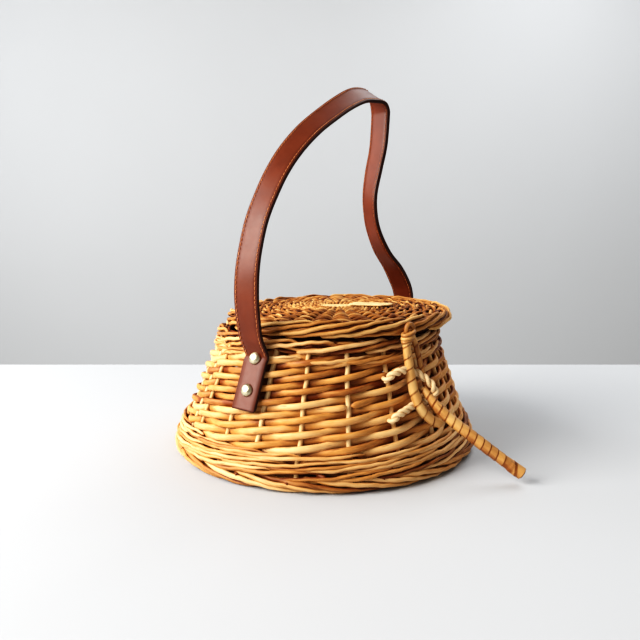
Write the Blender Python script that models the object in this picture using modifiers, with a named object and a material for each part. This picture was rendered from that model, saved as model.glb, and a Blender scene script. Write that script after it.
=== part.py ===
"""Round willow basket with a hinged lid, a hasp-and-peg clasp and a riveted leather strap handle.

Origin: on the ground at the centre of the base. +Z is up, the clasp faces -Y, the lid hinge is at +Y.
Everything is in metres; MM turns the millimetre sizes below into metres.
"""

import math

import bmesh
import bpy
from mathutils import Matrix, Vector

for old in list(bpy.data.objects):
    bpy.data.objects.remove(old, do_unlink=True)

MM = 0.001
GAP = 0.3            # clearance left between neighbouring pieces
SEGMENTS = 60        # steps round the basket

# Body: a cone frustum woven on upright stakes
WALL_R0 = 142.0      # outer wall radius is WALL_R0 - WALL_SLOPE * z
WALL_SLOPE = 0.385
LEAN = (0.0314, -0.0219)   # how far the body leans sideways for each mm of height
FOOT_TOP = 14.0
WALE_TOP = 27.0
WEAVE_TOP = 90.0
WEAVE_ROWS = 12
TOP_WALE_TOP = 98.0
BORDER_TOP = 107.6
SKIN = 2.6           # thickness of the inner and outer weave
STAKE_R = 1.9
STAKES = 23
STAKE_START = -71.5  # degrees round from the front, towards +X

# Lid
LID_X, LID_Y, LID_R = 11.2, -7.9, 103.3
LID_LOW, LID_HIGH = 108.2, 122.6
HINGE_Y, HINGE_Z = 99.8, 113.8
LID_AJAR = 1.76      # degrees the lid stands open at rest
ROD_R = 2.2
RING_R = 1.6

# Clasp
HASP_X, HASP_Y, HASP_Z = 9.75, -118.2, 118.8
HASP_HALF = 5.75
HASP_R = 2.8
NOOSE_R = 1.6
PEG_TOP = (21.9, -134.6, 59.3)
PEG_TIP = (58.7, -183.0, 10.5)
PEG_THIN, PEG_THICK = 2.7, 4.3

# Strap
STRAP_W = 21.5
LAYER = 1.6
STRAP_ANGLE = 15.79  # degrees between the line through both handle ends and +X
STRAP_MID = (6.94, -12.51)
PIVOT_Z = 111.0
TAB_NEAR, TAB_FAR = -67.0, 97.0
TAB_LOW = 57.5
RIVET_Z = {"near": (94.2, 70.0), "far": (85.5, 66.0)}

basket = bpy.data.collections.new("wicker_basket")
bpy.context.scene.collection.children.link(basket)
cutters = bpy.data.collections.new("cutters")
bpy.context.scene.collection.children.link(cutters)

FINISH = {
    "willow": ((0.60, 0.38, 0.17), 0.0, 0.55),
    "willow_stake": ((0.48, 0.28, 0.12), 0.0, 0.6),
    "willow_lid": ((0.50, 0.34, 0.18), 0.0, 0.6),
    "cane_wrap": ((0.78, 0.57, 0.28), 0.0, 0.45),
    "noose_willow": ((0.82, 0.66, 0.42), 0.0, 0.55),
    "leather": ((0.24, 0.055, 0.03), 0.0, 0.42),
    "rivet_metal": ((0.62, 0.52, 0.36), 1.0, 0.3),
}


def finish(obj, name):
    mat = bpy.data.materials.new(obj.name + "_" + name)
    mat.use_nodes = True
    bsdf = mat.node_tree.nodes["Principled BSDF"]
    colour, metal, rough = FINISH[name]
    bsdf.inputs["Base Color"].default_value = (*colour, 1.0)
    bsdf.inputs["Metallic"].default_value = metal
    bsdf.inputs["Roughness"].default_value = rough
    obj.data.materials.clear()
    obj.data.materials.append(mat)
    return obj


def placed(obj, collection=basket):
    for c in list(obj.users_collection):
        c.objects.unlink(obj)
    collection.objects.link(obj)
    return obj


def settle(obj, matrix=None):
    """Applies the modifiers, welds, turns faces outwards and moves the mesh by matrix (mm to metres)."""
    bpy.context.view_layer.update()
    evaluated = obj.evaluated_get(bpy.context.evaluated_depsgraph_get())
    mesh = bpy.data.meshes.new_from_object(evaluated)
    obj.modifiers.clear()
    if obj.type == "CURVE":
        name = obj.name
        bpy.data.objects.remove(obj, do_unlink=True)
        obj = bpy.data.objects.new(name, mesh)
        basket.objects.link(obj)
    else:
        obj.data = mesh
    bm = bmesh.new()
    bm.from_mesh(mesh)
    bmesh.ops.remove_doubles(bm, verts=bm.verts, dist=0.005)
    bmesh.ops.transform(bm, matrix=matrix or Matrix.Identity(4), verts=bm.verts)
    bmesh.ops.transform(bm, matrix=Matrix.Scale(MM, 4), verts=bm.verts)
    bmesh.ops.recalc_face_normals(bm, faces=bm.faces)
    bm.to_mesh(mesh)
    bm.free()
    mesh.update()
    return obj


LEANING = Matrix(((1, 0, LEAN[0], 0), (0, 1, LEAN[1], 0), (0, 0, 1, 0), (0, 0, 0, 1)))
AJAR = (
    Matrix.Translation((0, HINGE_Y, HINGE_Z))
    @ Matrix.Rotation(math.radians(-LID_AJAR), 4, "X")
    @ Matrix.Translation((0, -HINGE_Y, -HINGE_Z))
)


def wall(z):
    return WALL_R0 - WALL_SLOPE * z


def at(theta, r, z):
    """A point at angle theta from the front, radius r and height z on the leaning body."""
    a = math.radians(theta)
    return Vector((r * math.sin(a) + LEAN[0] * z, -r * math.cos(a) + LEAN[1] * z, z))


def lathe(name, profile, look, matrix, centre=(0, 0), steps=SEGMENTS):
    """A ring swept from a closed profile of (radius, z), listed down its outer side first, or a solid one
    if the profile starts and ends on the axis."""
    mesh = bpy.data.meshes.new(name)
    solid_core = profile[0][0] == 0 and profile[-1][0] == 0
    edges = [(i, (i + 1) % len(profile)) for i in range(len(profile) - (1 if solid_core else 0))]
    mesh.from_pydata([(r, 0, z) for r, z in profile], edges, [])
    obj = bpy.data.objects.new(name, mesh)
    basket.objects.link(obj)
    screw = obj.modifiers.new("sweep", "SCREW")
    screw.steps = screw.render_steps = steps
    screw.use_merge_vertices = True
    screw.merge_threshold = 0.00001
    screw.use_normal_calculate = True
    return finish(settle(obj, matrix @ Matrix.Translation((centre[0], centre[1], 0))), look)


def tube(name, points, radius, look, closed=False, sides=2, radii=None, order=3, smooth=True):
    """A round rod along points: a smooth curve with a round bevel and filled ends."""
    curve = bpy.data.curves.new(name, "CURVE")
    curve.dimensions = "3D"
    curve.bevel_depth = radius
    curve.bevel_resolution = sides
    curve.resolution_u = 4
    curve.render_resolution_u = 4
    curve.use_fill_caps = True
    spline = curve.splines.new("NURBS" if smooth else "POLY")
    spline.points.add(len(points) - 1)
    for i, p in enumerate(points):
        spline.points[i].co = (*p, 1.0)
        spline.points[i].radius = radii[i] if radii else 1.0
    if smooth:
        spline.order_u = order
        spline.use_endpoint_u = not closed
    spline.use_cyclic_u = closed
    obj = bpy.data.objects.new(name, curve)
    basket.objects.link(obj)
    return finish(settle(obj), look)


def bar(name, size, centre, look, matrix=None, turn=0.0):
    bpy.ops.mesh.primitive_cube_add(size=1)
    obj = placed(bpy.context.object)
    obj.name = obj.data.name = name
    spin = Matrix.Translation(centre) @ Matrix.Rotation(math.radians(turn), 4, "Z")
    spin = spin @ Matrix.Diagonal((*size, 1.0))
    return finish(settle(obj, (matrix or Matrix.Identity(4)) @ spin), look)


def frame_along(direction, origin):
    z = Vector(direction).normalized()
    return Matrix.Translation(origin) @ z.to_track_quat("Z", "Y").to_matrix().to_4x4()


# ---- base -----------------------------------------------------------------------------------------

ID = Matrix.Identity(4)
lathe("base_weave", [(121.5, 9.5), (121.5, 5.0), (29.0, 3.0), (29.0, 7.5)], "willow", ID)
bar("base_slath_lower", (54.0, 21.0, 3.2), (0, 0, 1.6), "willow_stake", turn=30)
bar("base_slath_upper", (21.0, 54.0, 3.2), (0, 0, 3.2 + GAP + 1.6), "willow_stake", turn=30)
lathe(
    "foot_border",
    [(135.5, FOOT_TOP), (139.6, 10.5), (140.0, 6.0), (137.5, 1.5), (134.0, 0.0), (127.5, 0.0),
     (123.0, 3.0), (122.0, 8.0), (124.0, FOOT_TOP)],
    "willow", LEANING,
)
lathe(
    "bottom_wale",
    [(132.5, WALE_TOP), (135.6, 24.0), (134.2, 20.8), (137.2, 17.5), (135.6, FOOT_TOP + GAP),
     (124.5, FOOT_TOP + GAP), (122.0, WALE_TOP)],
    "willow", LEANING,
)

# ---- wall -----------------------------------------------------------------------------------------

weave_low = WALE_TOP + GAP
pitch = (WEAVE_TOP - weave_low) / WEAVE_ROWS
inside_of_outer = SKIN + 0.5
outside_of_inner = inside_of_outer + 2 * STAKE_R + 2 * GAP + 0.5
outer = []
for row in range(WEAVE_ROWS):
    z = WEAVE_TOP - row * pitch
    outer += [(wall(z) - 0.9, z), (wall(z - pitch / 2) + 0.3, z - pitch / 2)]
outer += [(wall(weave_low) - 0.9, weave_low), (wall(weave_low) - inside_of_outer, weave_low)]
outer += [(wall(WEAVE_TOP) - inside_of_outer, WEAVE_TOP)]
lathe("randing_outer", outer, "willow", LEANING)
lathe(
    "randing_inner",
    [(wall(WEAVE_TOP) - outside_of_inner, WEAVE_TOP), (wall(weave_low) - outside_of_inner, weave_low),
     (wall(weave_low) - outside_of_inner - SKIN, weave_low),
     (wall(WEAVE_TOP) - outside_of_inner - SKIN, WEAVE_TOP)],
    "willow", LEANING,
)
stake_in = inside_of_outer + 0.3 + GAP + STAKE_R
for i in range(STAKES):
    theta = STAKE_START + i * 360.0 / STAKES
    low, high = weave_low + 0.9, WEAVE_TOP - 0.9
    tube(
        f"stake_{i + 1:02d}",
        [at(theta, wall(low) - stake_in, low), at(theta, wall(high) - stake_in, high)],
        STAKE_R, "willow_stake", sides=1, smooth=False,
    )
lathe(
    "top_wale",
    [(wall(TOP_WALE_TOP) - 0.6, TOP_WALE_TOP), (wall(96.0) + 0.3, 96.0), (wall(94.0) - 0.6, 94.0),
     (wall(92.0) + 0.3, 92.0), (wall(WEAVE_TOP) - 0.4, WEAVE_TOP + GAP),
     (wall(WEAVE_TOP) - 10.6, WEAVE_TOP + GAP), (wall(TOP_WALE_TOP) - 10.6, TOP_WALE_TOP)],
    "willow", LEANING,
)
lathe(
    "top_border",
    [(98.5, BORDER_TOP), (102.0, 106.0), (103.2, 103.0), (102.6, TOP_WALE_TOP + GAP),
     (93.5, TOP_WALE_TOP + GAP), (93.0, 104.5), (95.0, BORDER_TOP)],
    "willow", LEANING,
)

# ---- lid ------------------------------------------------------------------------------------------

centre = (LID_X, LID_Y)
lathe(
    "lid_border",
    [(98.0, LID_HIGH), (102.2, 120.4), (LID_R, 115.6), (102.2, 110.6), (98.5, LID_LOW), (93.5, LID_LOW),
     (90.5, 111.0), (89.5, 115.5), (91.5, 120.5), (94.5, LID_HIGH)],
    "willow_lid", AJAR, centre,
)
lathe("lid_weave", [(89.0, 118.0), (89.0, 113.0), (21.0, 114.5), (21.0, 119.8)], "willow_lid", AJAR, centre)
bar("lid_slath_lower", (38.0, 15.0, 2.8), (LID_X, LID_Y, 115.8), "cane_wrap", AJAR, turn=62)
bar("lid_slath_upper", (15.0, 38.0, 2.8), (LID_X, LID_Y, 118.6 + GAP), "cane_wrap", AJAR, turn=62)
tube(
    "hinge_rod",
    [(LID_X - 31.0, HINGE_Y, HINGE_Z), (LID_X + 31.0, HINGE_Y, HINGE_Z)],
    ROD_R, "willow_stake", sides=2, smooth=False,
)


def torus(name, major, minor, spot, look, axis=(1, 0, 0), around=24):
    bpy.ops.mesh.primitive_torus_add(
        major_radius=major, minor_radius=minor, major_segments=around, minor_segments=10
    )
    obj = placed(bpy.context.object)
    obj.name = obj.data.name = name
    return finish(settle(obj, frame_along(axis, spot)), look)


for side, dx in (("left", -20.0), ("right", 20.0)):
    torus(
        f"hinge_loop_{side}", ROD_R + GAP + 0.05 + RING_R, RING_R,
        (LID_X + dx, HINGE_Y, HINGE_Z), "willow_stake",
    )

# ---- clasp ----------------------------------------------------------------------------------------

torus("hasp_ring", HASP_R + 0.45 + RING_R, RING_R, (HASP_X, HASP_Y, HASP_Z), "cane_wrap")
left, right = HASP_X - HASP_HALF, HASP_X + HASP_HALF
drop = [(-118.6, 105.0), (-120.6, 86.0), (-125.7, 68.0), (-131.6, 52.0)]
loop = []
for step in range(7):
    a = math.pi * (1 - step / 6)
    loop.append((HASP_X + HASP_HALF * math.cos(a), HASP_Y, HASP_Z - HASP_HALF + HASP_HALF * math.sin(a)))
loop += [(right, y, z) for y, z in drop]
for step in range(1, 6):
    a = math.pi * step / 6
    bend_y, bend_z = -131.6 - 2.0 * math.sin(a), 52.0 - HASP_HALF * math.sin(a)
    loop.append((HASP_X + HASP_HALF * math.cos(a), bend_y, bend_z))
loop += [(left, y, z) for y, z in reversed(drop)]
tube("hasp_loop", loop, HASP_R, "cane_wrap", closed=True, sides=2, smooth=False)

peg_top, peg_tip = Vector(PEG_TOP), Vector(PEG_TIP)
peg_dir = (peg_tip - peg_top).normalized()
tube("peg_core", [peg_top, peg_tip], 1.0, "willow_stake", sides=2, smooth=False,
     radii=[PEG_THIN - 0.9, PEG_THICK - 0.9])
length = (peg_tip - peg_top).length
lathe(
    "peg_wrap",
    [(PEG_THICK - 0.15, length - 2.0), (PEG_THIN, 2.0), (PEG_THIN - 0.9 + GAP, 2.0),
     (PEG_THICK - 0.9 + GAP, length - 2.0)],
    "cane_wrap", frame_along(peg_dir, peg_top), steps=16,
)

outward = Vector((0.25, -0.9, 0.36))
outward = (outward - outward.dot(peg_dir) * peg_dir).normalized()
across = peg_dir.cross(outward).normalized()
grip = peg_top + peg_dir * 7.0
reach = PEG_THIN + 0.4 + NOOSE_R + 0.8
noose = [
    Vector((-17.0, -114.4, 81.5)), Vector((-8.0, -115.1, 82.5)), Vector((1.0, -115.1, 83.0)),
    Vector((7.0, -115.4, 82.8)), Vector((9.9, -121.6, 81.0)), Vector((11.0, -128.6, 79.0)),
    Vector((15.5, -131.6, 76.0)), Vector((20.5, -133.5, 72.0)),
    grip + outward * reach * 1.25 + across, grip + outward * reach * 0.75 - across * reach * 1.25,
    grip - outward * reach * 0.8 - across * reach * 1.2, grip - outward * reach * 1.3 + across * 1.5,
    Vector((19.0, -136.9, 52.5)), Vector((14.5, -136.9, 56.5)), Vector((10.6, -134.0, 59.0)),
    Vector((9.6, -128.2, 60.5)), Vector((6.8, -123.3, 60.0)), Vector((1.0, -123.4, 58.5)),
    Vector((-8.0, -125.0, 54.5)), Vector((-20.0, -125.6, 50.0)),
]
tube("noose", noose, NOOSE_R, "noose_willow", sides=1)

# ---- strap ----------------------------------------------------------------------------------------

turn = math.radians(STRAP_ANGLE)
ALONG = Vector((math.cos(turn), math.sin(turn), 0))
FORE = Vector((math.sin(turn), -math.cos(turn), 0))
MID = Vector((STRAP_MID[0], STRAP_MID[1], 0))
NEAR = [(-110.2, 100.4), (-112.4, PIVOT_Z), (-115.6, 124.0), (-117.6, 137.0), (-118.4, 151.4),
        (-117.6, 163.0), (-115.7, 174.5), (-112.1, 186.0), (-107.5, 199.0), (-101.6, 212.9), (-95.2, 224.5),
        (-86.4, 238.0), (-74.5, 252.7), (-61.0, 267.1), (-44.6, 281.4), (-36.0, 287.6)]
FAR = [(-35.5, 287.95), (-26.1, 294.4), (-5.4, 305.6), (16.4, 314.0), (34.8, 318.0), (50.9, 318.2),
       (55.4, 317.0), (59.0, 314.5), (61.6, 311.0), (62.8, 307.4), (63.2, 303.4), (62.6, 289.5), (60.6, 275.4),
       (56.4, 258.3), (50.9, 242.2), (47.4, 223.3), (48.2, 209.2), (51.9, 196.8), (58.1, 184.1), (68.0, 171.0),
       (82.8, 157.2), (99.1, 143.8), (109.2, 134.0), (113.4, 124.0), (113.9, PIVOT_Z), (112.7, 100.4)]


def strip(name, places, width, across_dir, thick, offset, look, rounded=()):
    """A flat band along places; offset shifts it to one side, and rounded names the ends cut to a half disc."""
    path = [Vector(p) for p in places]
    run = [0.0]
    for a, b in zip(path, path[1:]):
        run.append(run[-1] + (b - a).length)
    bm = bmesh.new()
    rows = []
    for i, p in enumerate(path):
        before = path[max(i - 1, 0)]
        after = path[min(i + 1, len(path) - 1)]
        side = (after - before).normalized().cross(across_dir).normalized()
        half = width / 2
        for end in rounded:
            far = run[i] if end == "start" else run[-1] - run[i]
            if far < width / 2:
                half = min(half, math.sqrt(max((width / 2) ** 2 - (width / 2 - far) ** 2, 2.0)))
        rows.append([bm.verts.new(p + side * offset + across_dir * half * s) for s in (-1, 1)])
    for a, b in zip(rows, rows[1:]):
        bm.faces.new((a[0], a[1], b[1], b[0]))
    mesh = bpy.data.meshes.new(name)
    bm.to_mesh(mesh)
    bm.free()
    obj = bpy.data.objects.new(name, mesh)
    basket.objects.link(obj)
    solid = obj.modifiers.new("thickness", "SOLIDIFY")
    solid.thickness = thick
    solid.offset = 0.0
    solid.use_even_offset = True
    return finish(settle(obj), look)


def denser(points, start, end):
    """Adds places close to the named ends, so that their half-disc outline stays round."""
    result = [Vector(p) for p in points]
    fine = (0.0, 0.35, 1.2, 2.6, 4.6, 7.2)
    if start:
        d = (result[1] - result[0]).normalized()
        result = [result[0] + d * t for t in fine] + result[1:]
    if end:
        d = (result[-2] - result[-1]).normalized()
        result = result[:-1] + [result[-1] + d * t for t in reversed(fine)]
    return result


def chord(s, z):
    return MID + ALONG * s + Vector((0, 0, z))


near_path = denser([chord(s, z) for s, z in NEAR], True, False)
far_path = denser([chord(s, z) for s, z in FAR], False, True)
step_out = (LAYER + GAP) / 2
strip("strap_near_outer", near_path, STRAP_W, FORE, LAYER, -step_out, "leather", ("start",))
strip("strap_near_inner", near_path, STRAP_W, FORE, LAYER, step_out, "leather", ("start",))
strip("strap_far_outer", far_path, STRAP_W, FORE, LAYER, -step_out, "leather", ("end",))
strip("strap_far_inner", far_path, STRAP_W, FORE, LAYER, step_out, "leather", ("end",))


def drill(obj, radius, spot, direction, depth=30.0):
    bpy.ops.mesh.primitive_cylinder_add(vertices=16, radius=radius * MM, depth=depth * MM)
    cutter = placed(bpy.context.object, cutters)
    cutter.name = f"drill_{obj.name}_{len(cutters.objects)}"
    cutter.matrix_world = frame_along(direction, Vector(spot) * MM)
    cutter.hide_render = True
    cutter.display_type = "WIRE"
    cut = obj.modifiers.new("drill", "BOOLEAN")
    cut.operation = "DIFFERENCE"
    cut.solver = "EXACT"
    cut.object = cutter


outer_wall = bpy.data.objects["randing_outer"]
inner_wall = bpy.data.objects["randing_inner"]
top_ring = bpy.data.objects["top_wale"]
for label, theta, top_r in (("near", TAB_NEAR, 107.0), ("far", TAB_FAR, 111.6)):
    a = math.radians(theta)
    tangent = Vector((math.cos(a), math.sin(a), 0))
    slant = (at(theta, wall(80), 80) - at(theta, wall(60), 60)).normalized()
    normal = tangent.cross(slant).normalized()
    lift = GAP + 0.7 + LAYER + GAP / 2
    base = at(theta, wall(TAB_LOW), TAB_LOW) + normal * lift
    straight = wall(99.8) + lift * 1.07
    spots = [base, at(theta, wall(80), 80) + normal * lift, at(theta, wall(90.0), 90.0) + normal * lift]
    for z, share in ((94.0, 0.2), (97.0, 0.54), (99.8, 1.0)):
        spots.append(at(theta, wall(z) + lift * 1.07 + share * (top_r - straight), z))
    for layer, shift in (("outer", -step_out), ("inner", step_out)):
        tab = strip(f"tab_{label}_{layer}", spots, STRAP_W, tangent, LAYER, shift, "leather")
        for z in RIVET_Z[label]:
            drill(tab, 1.9, at(theta, wall(z), z), normal)
    for which, z in zip(("upper", "lower"), RIVET_Z[label]):
        spot = at(theta, wall(z), z)
        holed = (outer_wall, inner_wall) if z < WEAVE_TOP else (top_ring, inner_wall)
        for target in holed:
            drill(target, 1.9, spot, normal)
        face = lift + LAYER + 2 * GAP
        tail = -(outside_of_inner + SKIN + 1.9)
        lathe(
            f"rivet_{label}_{which}",
            [(0, face + 2.5), (1.5, face + 2.3), (3.0, face + 1.7), (4.0, face + 0.9), (4.5, face + 0.05),
             (1.5, face), (1.5, tail), (0, tail)],
            "rivet_metal", frame_along(normal, spot), steps=16,
        )
        lathe(
            f"washer_{label}_{which}",
            [(4.5, tail + 1.3), (4.5, tail + 0.3), (1.8, tail + 0.3), (1.8, tail + 1.3)],
            "rivet_metal", frame_along(normal, spot), steps=16,
        )
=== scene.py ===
"""The willow basket as it looks: every rod, stick, wrap, stitch and rivet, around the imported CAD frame.

Sizes are in millimetres and angles in degrees, unless a comment says otherwise. Angles round the basket start
at its front and grow towards +X. The floor, the lights and the camera are placed in metres.
"""

import math

import bpy
import numpy as np
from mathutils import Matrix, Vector


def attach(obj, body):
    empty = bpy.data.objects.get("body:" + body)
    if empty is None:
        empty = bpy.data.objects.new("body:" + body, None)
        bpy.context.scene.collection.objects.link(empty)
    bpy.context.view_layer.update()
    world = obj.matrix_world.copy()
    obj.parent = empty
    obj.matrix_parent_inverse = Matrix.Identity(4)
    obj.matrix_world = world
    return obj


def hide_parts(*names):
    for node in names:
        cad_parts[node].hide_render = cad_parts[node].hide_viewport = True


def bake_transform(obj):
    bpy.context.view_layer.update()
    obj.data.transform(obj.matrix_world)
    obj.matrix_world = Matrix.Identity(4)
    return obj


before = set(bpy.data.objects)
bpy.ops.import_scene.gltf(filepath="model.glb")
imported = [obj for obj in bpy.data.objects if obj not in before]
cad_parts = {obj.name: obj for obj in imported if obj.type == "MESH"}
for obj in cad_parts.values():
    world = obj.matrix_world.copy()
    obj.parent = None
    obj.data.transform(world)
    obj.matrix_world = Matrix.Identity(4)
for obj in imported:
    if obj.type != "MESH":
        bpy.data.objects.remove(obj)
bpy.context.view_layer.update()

RNG = np.random.default_rng(11)
TAU = 2 * math.pi
UP = np.array([0, 0, 1.0])
MM = 0.001                                  # metres in a millimetre

# ---- sizes ----------------------------------------------------------------------------------------

WALL_R0, WALL_SLOPE = 142.0, 0.385          # outer wall radius at height z is WALL_R0 - WALL_SLOPE * z
LEAN = (0.0314, -0.0219)                    # sideways lean of the body per mm of height
WALL_MID = 6.3                              # the middle of the wall lies this far inside its outer face

STAKES, STAKE_START = 23, -71.5             # number of upright stakes and the angle of the first
INTERVAL = 360.0 / STAKES
STAKE_SHIFT = {22: -7.4, 0: -4.4, 1: -5.2, 2: -4.5, 3: -2.3, 4: 0.4, 5: 3.0, 6: 2.0}   # uneven spacing
STAKE_R, STAKE_LOW, STAKE_HIGH = 2.1, 6.0, 103.0

ROW = 5.25                                  # height that a weaving rod climbs from stake to stake
WEAVE_LOW, WEAVE_HIGH = 27.0, 97.0
WEAVE_REACH = 16                            # stakes that a weaving rod passes
WEAVE_R, WEAVE_SWING = 3.0, 3.75            # rod radius, and how far it swings out and in round the stakes
STROKE_STEPS = 12                           # rings along a rod from stake to stake

RIM_Z, RIM_LIFT = 95.0, 3.2                 # the rim begins here, and its clasp side stands this much higher
BASE_Z, BASE_STICKS, BASE_START = 6.6, 22, 8

LID_X, LID_Y, LID_Z, LID_R = 11.2, -7.9, 116.9, 92.0
LID_DOME, LID_BUMP = 3.4, 2.6
LID_STICKS, LID_START = 32, -1.2
HINGE_Y, HINGE_Z, LID_AJAR = 99.8, 113.8, 1.76

STRAP_W, STRAP_LAYER = 22.4, 1.65           # width, and thickness of each of the two layers
STRAP_TURN, STRAP_MID = 15.79, (6.94, -12.51)   # the strap's plane: its turn from X, and its middle
TAB_NEAR, TAB_FAR, TAB_LIFT = -67.6, 97.0, 2.9  # angle of each riveted end, and its height above the wall
STITCH, STITCH_PITCH, STITCH_INSET = 2.9, 3.7, 2.0

CAMERA_TURN = 35.0                          # the camera stands this far round from the front, on the left


def unit(v):
    return v / np.maximum(np.linalg.norm(v, axis=-1, keepdims=True), 1e-9)


def ease(t):
    t = np.clip(t, 0, 1)
    return t * t * (3 - 2 * t)


def wander(n, size, waves=3.0):
    """A smooth random drift of n values."""
    s = np.linspace(0, 1, n)
    out = np.zeros(n)
    for k in range(1, 4):
        out += np.sin(TAU * (s * waves * k * RNG.uniform(0.6, 1.2) + RNG.random())) / k
    return out * size * 0.6


def wall(z):
    """Outer radius of the wall at a height."""
    return WALL_R0 - WALL_SLOPE * z


def radial(theta):
    a = np.radians(theta)
    return np.stack([np.sin(a), -np.cos(a), 0 * a], -1)


def stake_angle(number):
    """Angle of the weave's stake number, which may be fractional between stakes."""
    k = np.asarray(number, float)
    shift = np.array([STAKE_SHIFT.get(i, 0.0) for i in range(STAKES)])
    here = np.interp(k, np.arange(STAKES * 3) - STAKES, np.tile(shift, 3))
    return STAKE_START + k * 360.0 / STAKES + here


def clasp_side(theta):
    """1 on the side towards the camera, falling to -1 on the far side."""
    return np.cos(np.radians(theta + CAMERA_TURN))


# The next functions turn an angle, a radius and a height into a point. They take arrays.


def body_point(theta, r, z):
    a = np.radians(theta)
    return np.stack([r * np.sin(a) + LEAN[0] * z, -r * np.cos(a) + LEAN[1] * z, z + 0 * a], -1)


def rim_point(theta, r, z):
    """The rim stands a little higher on the clasp side, where it nearly meets the lid."""
    lift = RIM_LIFT * np.clip(0.3 + 0.7 * clasp_side(theta), 0, 1)
    return body_point(theta, r, z + lift * ease((z - 94) / 8))


def base_point(theta, r, z):
    a = np.radians(theta)
    return np.stack([r * np.sin(a), -r * np.cos(a), z + 0 * a + 0 * r], -1)


def tipped(x, y, z):
    """A point of the shut lid, tipped up about the hinge: the lid stands slightly ajar."""
    t = math.radians(LID_AJAR)
    dy, dz = y - HINGE_Y, z - HINGE_Z
    return np.stack([x + 0 * dz, HINGE_Y + dy * math.cos(t) + dz * math.sin(t),
                     HINGE_Z - dy * math.sin(t) + dz * math.cos(t)], -1)


def lid_bump(theta):
    """The lid isn't flat: it rises a little on the side away from the clasp."""
    return LID_BUMP * np.clip(-clasp_side(theta), 0, 1) ** 1.5


def lid_edge_point(theta, r, z):
    a = np.radians(theta)
    return tipped(LID_X + r * np.sin(a), LID_Y - r * np.cos(a), z + lid_bump(theta))


def lid_face_point(theta, r, z):
    a, out = np.radians(theta), np.asarray(r) / LID_R
    lift = LID_DOME * np.clip(1 - out ** 2, 0, 1) + lid_bump(theta) * np.clip(out, 0, 1) ** 2
    return tipped(LID_X + r * np.sin(a), LID_Y - r * np.cos(a), z + lift)


# ---- curves ---------------------------------------------------------------------------------------


def lengths(path):
    """Distance along a path at each of its points."""
    return np.r_[0, np.cumsum(np.linalg.norm(np.diff(path, axis=0), axis=1))]


def spline(points, step, closed=False):
    """A Catmull-Rom curve through points, resampled evenly. Values after the first three ride along."""
    p = np.array(points, float)
    if closed:
        p = np.vstack([p[-1], p, p[0], p[1]])
    else:
        p = np.vstack([2 * p[0] - p[1], p, 2 * p[-1] - p[-2]])
    out = []
    for i in range(1, len(p) - 2):
        t = np.linspace(0, 1, 24, endpoint=False)[:, None]
        a, b, c, d = p[i - 1], p[i], p[i + 1], p[i + 2]
        square, cube = 2 * a - 5 * b + 4 * c - d, 3 * b - a - 3 * c + d
        out.append(0.5 * (2 * b + (c - a) * t + square * t**2 + cube * t**3))
    fine = np.vstack(out + ([] if closed else [p[-2][None]]))
    if closed:
        fine = np.vstack([fine, fine[:1]])
    run = lengths(fine[:, :3])
    at = np.linspace(0, run[-1], max(int(run[-1] / step), 4) + 1)
    return np.stack([np.interp(at, run, column) for column in fine.T], -1)


def carried(path, first):
    """Normals carried along a path without twisting, starting near first."""
    t = unit(np.gradient(path, axis=0))
    n = np.zeros_like(path)
    v = np.array(first, float)
    for i in range(len(path)):
        v = v - (v @ t[i]) * t[i]
        v = v / np.linalg.norm(v)
        n[i] = v
    return n


def across(normal, t):
    """The normal made square to the directions t."""
    return unit(normal - (normal * t).sum(1, keepdims=True) * t)


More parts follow.
